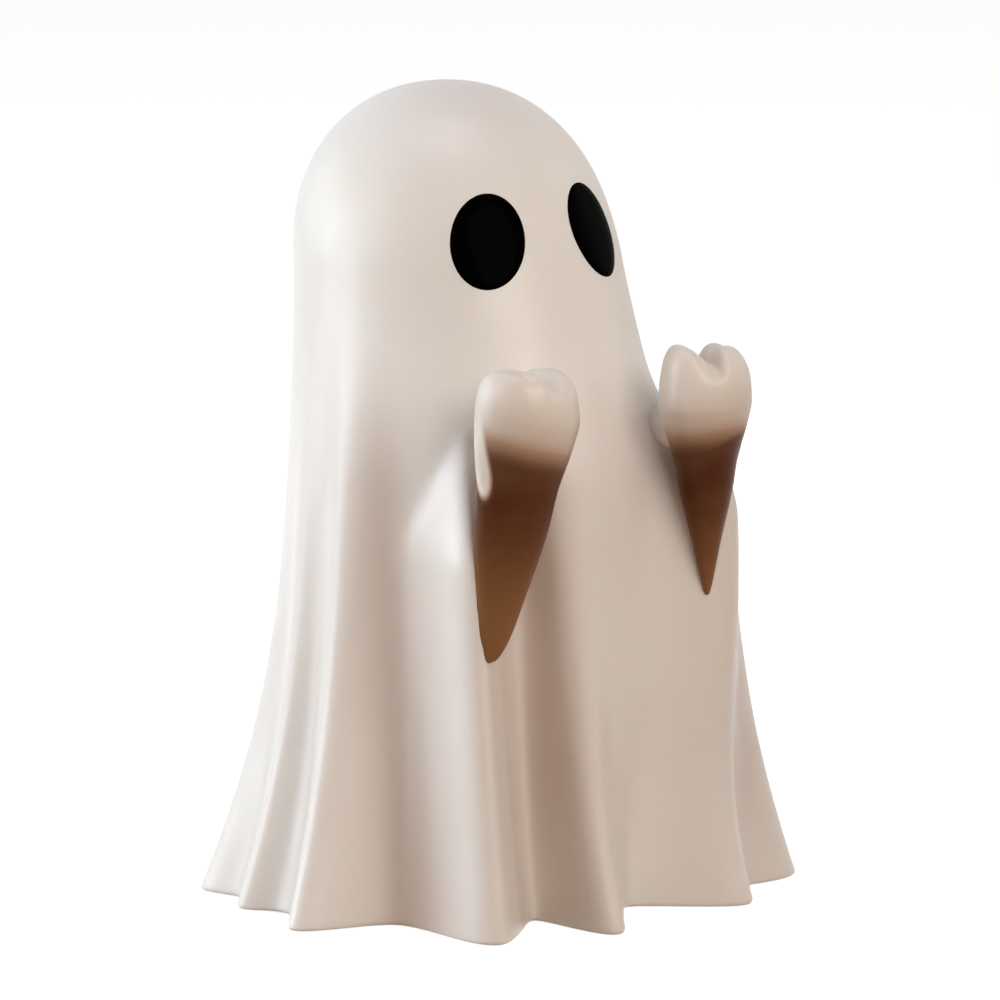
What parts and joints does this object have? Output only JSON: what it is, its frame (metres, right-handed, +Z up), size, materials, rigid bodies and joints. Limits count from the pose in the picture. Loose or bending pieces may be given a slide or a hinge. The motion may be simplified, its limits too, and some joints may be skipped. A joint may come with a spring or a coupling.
{
  "type": "ghost figurine",
  "caption": "Free-standing ghost ornament: a draped sheet with a domed head, raised hands, oval eyes and a flat felted underside.",
  "frame": {"origin": "centre of the flat underside, on the surface it stands on, straight below the head", "axes": "+Z up, the face looks along -Y, +X is towards the figure's left hand"},
  "size_m": [0.1197, 0.1143, 0.1632],
  "materials": {
    "sheet": "warm white cast resin with a waxy satin sheen",
    "arms": "the same resin, shaded with a brown wash under the wrists",
    "eyes": "smooth gloss black",
    "plate": "plain cast resin, unglazed",
    "felt": "pressed felt sheet"
  },
  "bodies": {
    "root": {"sheet_shell": "sheet", "right_arm": "arms", "left_arm": "arms", "right_eye": "eyes", "left_eye": "eyes", "base_plate": "plate", "base_felt": "felt"}
  },
  "joints": []
}
